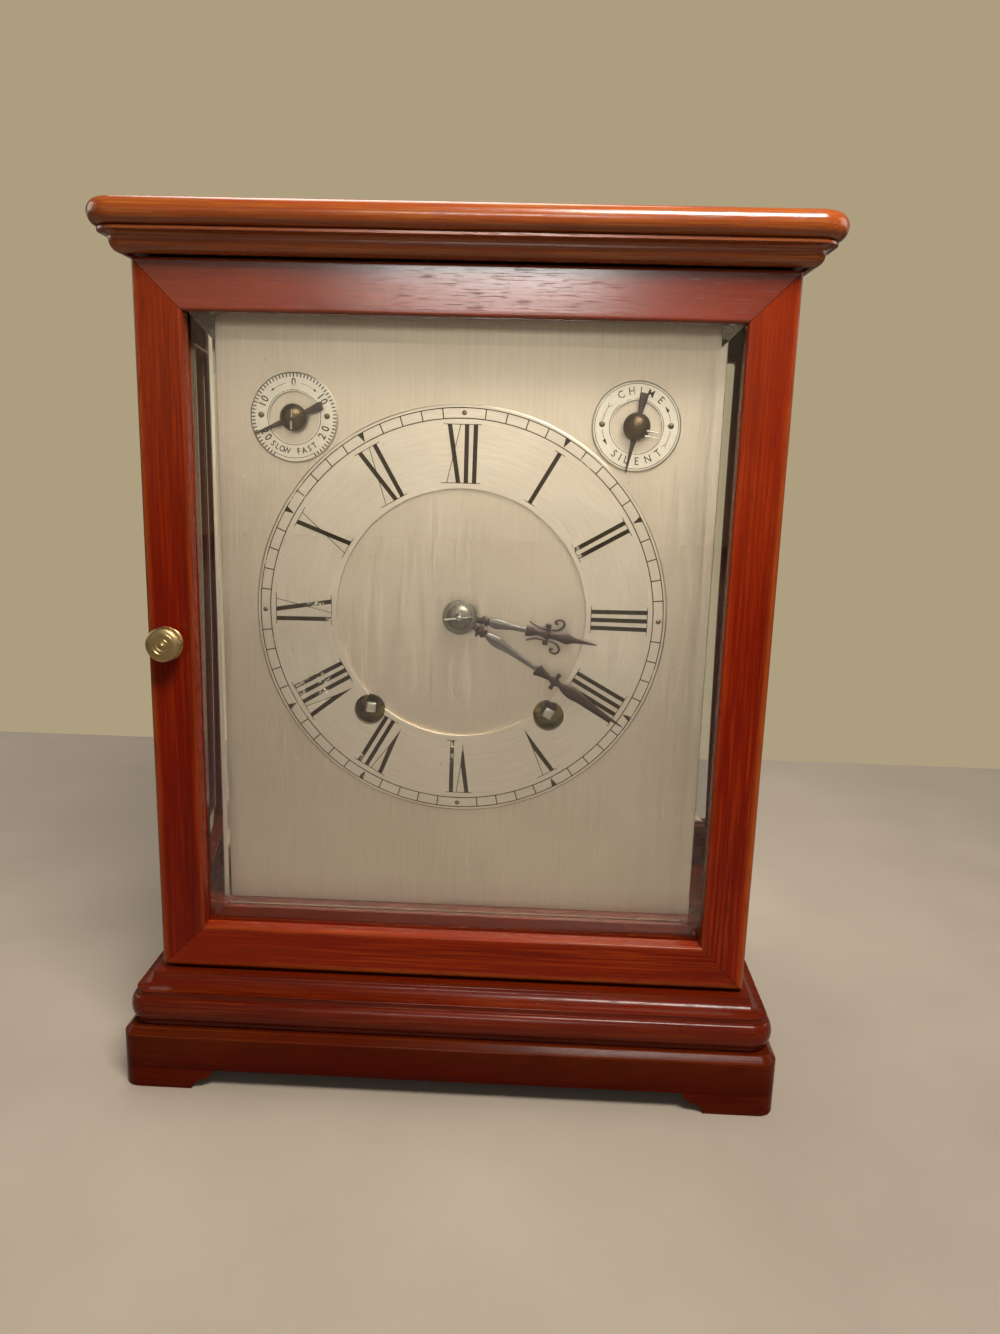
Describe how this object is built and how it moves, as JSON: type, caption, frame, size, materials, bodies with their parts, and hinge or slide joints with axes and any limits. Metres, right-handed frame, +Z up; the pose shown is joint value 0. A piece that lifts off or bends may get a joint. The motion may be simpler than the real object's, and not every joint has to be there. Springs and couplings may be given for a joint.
{
  "type": "four glass clock",
  "caption": "Mahogany mantel clock glazed on all sides, with hinged bevelled doors, silvered dial, blued hands, small rate and chime dials, pendulum movement and gong.",
  "frame": {"origin": "on the ground under the middle of the case", "axes": "+Z up, the dial faces -Y, +X to the right of someone who reads the dial"},
  "size_m": [0.256, 0.176, 0.3284],
  "materials": {
    "mahogany": "french polished",
    "glass": "clear, bevelled",
    "brass": "aged, satin",
    "silvered_brass": "silvered, finely grained",
    "dark_steel": "blued and worn",
    "bronze": "dark bronzed",
    "bright_steel": "polished"
  },
  "bodies": {
    "case": {"foot_front_left": "mahogany", "foot_front_right": "mahogany", "foot_back_left": "mahogany", "foot_back_right": "mahogany", "plinth": "mahogany", "base_moulding": "mahogany", "cornice": "mahogany", "side_frame_left": "mahogany", "side_frame_right": "mahogany", "dial_sill": "mahogany", "movement_seat": "mahogany", "side_glass_left": "glass", "side_glass_right": "glass", "front_hinge_lower_case_leaf": "brass", "front_hinge_upper_case_leaf": "brass", "back_hinge_lower_case_leaf": "brass", "back_hinge_upper_case_leaf": "brass", "front_plate": "brass", "back_plate": "brass", "pendulum_cock": "brass", "dial_plate": "silvered_brass", "chapter_ring": "silvered_brass", "rate_ring": "silvered_brass", "chime_ring": "silvered_brass", "gong_stand": "dark_steel", "gong": "bright_steel"},
    "front_door": {"front_door_stile_left": "mahogany", "front_door_stile_right": "mahogany", "front_door_rail_top": "mahogany", "front_door_rail_bottom": "mahogany", "front_door_glass": "glass", "front_door_bead": "mahogany", "front_hinge_lower_door_leaf": "brass", "front_hinge_upper_door_leaf": "brass"},
    "front_catch": {"front_door_knob": "brass"},
    "back_door": {"back_door_frame": "mahogany", "back_door_glass": "glass", "back_door_bead": "mahogany", "back_hinge_lower_door_leaf": "brass", "back_hinge_upper_door_leaf": "brass"},
    "back_catch": {"back_door_knob": "brass"},
    "minute_hand": {"minute_hand": "dark_steel", "hand_collet": "bronze", "cannon_pinion": "bright_steel"},
    "minute_wheel": {"minute_wheel": "brass"},
    "hour_hand": {"hour_hand": "dark_steel", "hour_wheel": "brass"},
    "rate_hand": {"rate_hand": "bronze"},
    "chime_hand": {"chime_hand": "bronze"},
    "pendulum": {"pendulum": "brass"},
    "anchor": {"anchor": "bright_steel"},
    "third_wheel": {"third_wheel": "brass"},
    "centre_wheel": {"centre_wheel": "brass"},
    "intermediate_wheel": {"intermediate_wheel": "brass"},
    "going_barrel": {"going_barrel": "brass"},
    "escape_wheel": {"escape_wheel": "brass"},
    "strike_barrel": {"strike_barrel": "brass"},
    "going_arbor": {"going_arbor": "bright_steel"},
    "strike_arbor": {"strike_arbor": "bright_steel"},
    "hammer": {"hammer": "brass"}
  },
  "joints": [
    {"name": "front_door_swing", "type": "hinge", "parent": "case", "child": "front_door", "pos_m": [0.1171, -0.05885, 0.1783], "axis": [0, 0, 1], "range_deg": [0, 115]},
    {"name": "front_catch_turn", "type": "hinge", "parent": "front_door", "child": "front_catch", "pos_m": [-0.10625, -0.075, 0.177], "axis": [0, 1, 0], "range_deg": [0, 90]},
    {"name": "back_door_swing", "type": "hinge", "parent": "case", "child": "back_door", "pos_m": [0.1171, 0.05885, 0.1783], "axis": [0, 0, -1], "range_deg": [0, 115]},
    {"name": "back_catch_turn", "type": "hinge", "parent": "back_door", "child": "back_catch", "pos_m": [-0.10625, 0.075, 0.177], "axis": [0, -1, 0], "range_deg": [0, 90]},
    {"name": "minute_hand_turn", "type": "hinge", "parent": "case", "child": "minute_hand", "pos_m": [0, -0.058, 0.1873], "axis": [0, 1, 0], "continuous": true},
    {"name": "minute_wheel_turn", "type": "hinge", "parent": "case", "child": "minute_wheel", "pos_m": [-0.01131, -0.043, 0.19861], "axis": [0, 1, 0], "continuous": true},
    {"name": "hour_hand_turn", "type": "hinge", "parent": "case", "child": "hour_hand", "pos_m": [0, -0.056, 0.1873], "axis": [0, 1, 0], "continuous": true},
    {"name": "rate_hand_turn", "type": "hinge", "parent": "case", "child": "rate_hand", "pos_m": [-0.06335, -0.055, 0.25955], "axis": [0, 1, 0], "range_deg": [-37, 263]},
    {"name": "chime_hand_turn", "type": "hinge", "parent": "case", "child": "chime_hand", "pos_m": [0.06335, -0.055, 0.25955], "axis": [0, 1, 0], "range_deg": [-191, 0]},
    {"name": "pendulum_swing", "type": "hinge", "parent": "case", "child": "pendulum", "pos_m": [0, 0.0215, 0.23808], "axis": [0, 1, 0], "range_deg": [-3, 3]},
    {"name": "anchor_rock", "type": "hinge", "parent": "case", "child": "anchor", "pos_m": [0, 0.003, 0.23808], "axis": [0, 1, 0], "range_deg": [-3, 3]},
    {"name": "third_wheel_turn", "type": "hinge", "parent": "case", "child": "third_wheel", "pos_m": [0.0125, -0.004, 0.20473], "axis": [0, 1, 0], "continuous": true},
    {"name": "centre_wheel_turn", "type": "hinge", "parent": "case", "child": "centre_wheel", "pos_m": [0, -0.02, 0.1873], "axis": [0, 1, 0], "continuous": true},
    {"name": "intermediate_wheel_turn", "type": "hinge", "parent": "case", "child": "intermediate_wheel", "pos_m": [0.02242, 0.006, 0.17873], "axis": [0, 1, 0], "continuous": true},
    {"name": "going_barrel_turn", "type": "hinge", "parent": "case", "child": "going_barrel", "pos_m": [0.0352, -0.012, 0.1487], "axis": [0, 1, 0], "continuous": true},
    {"name": "escape_wheel_turn", "type": "hinge", "parent": "case", "child": "escape_wheel", "pos_m": [0, 0.003, 0.2197], "axis": [0, 1, 0], "continuous": true},
    {"name": "strike_barrel_turn", "type": "hinge", "parent": "case", "child": "strike_barrel", "pos_m": [-0.0352, -0.012, 0.1487], "axis": [0, 1, 0], "continuous": true},
    {"name": "going_arbor_turn", "type": "hinge", "parent": "case", "child": "going_arbor", "pos_m": [0.0352, -0.045, 0.1487], "axis": [0, 1, 0], "continuous": true},
    {"name": "strike_arbor_turn", "type": "hinge", "parent": "case", "child": "strike_arbor", "pos_m": [-0.0352, -0.045, 0.1487], "axis": [0, 1, 0], "continuous": true},
    {"name": "hammer_lift", "type": "hinge", "parent": "case", "child": "hammer", "pos_m": [0.048, 0.0365, 0.1653], "axis": [0, -1, 0], "range_deg": [0, 20]}
  ],
  "couplings": [
    {"joint": "minute_wheel_turn", "follows": "minute_hand_turn", "ratio": -0.33333},
    {"joint": "hour_hand_turn", "follows": "minute_hand_turn", "ratio": 0.083333},
    {"joint": "anchor_rock", "follows": "pendulum_swing", "ratio": 1},
    {"joint": "centre_wheel_turn", "follows": "third_wheel_turn", "ratio": -0.083333},
    {"joint": "intermediate_wheel_turn", "follows": "third_wheel_turn", "ratio": 0.016667},
    {"joint": "going_barrel_turn", "follows": "third_wheel_turn", "ratio": -0.0022222},
    {"joint": "escape_wheel_turn", "follows": "third_wheel_turn", "ratio": -12}
  ]
}
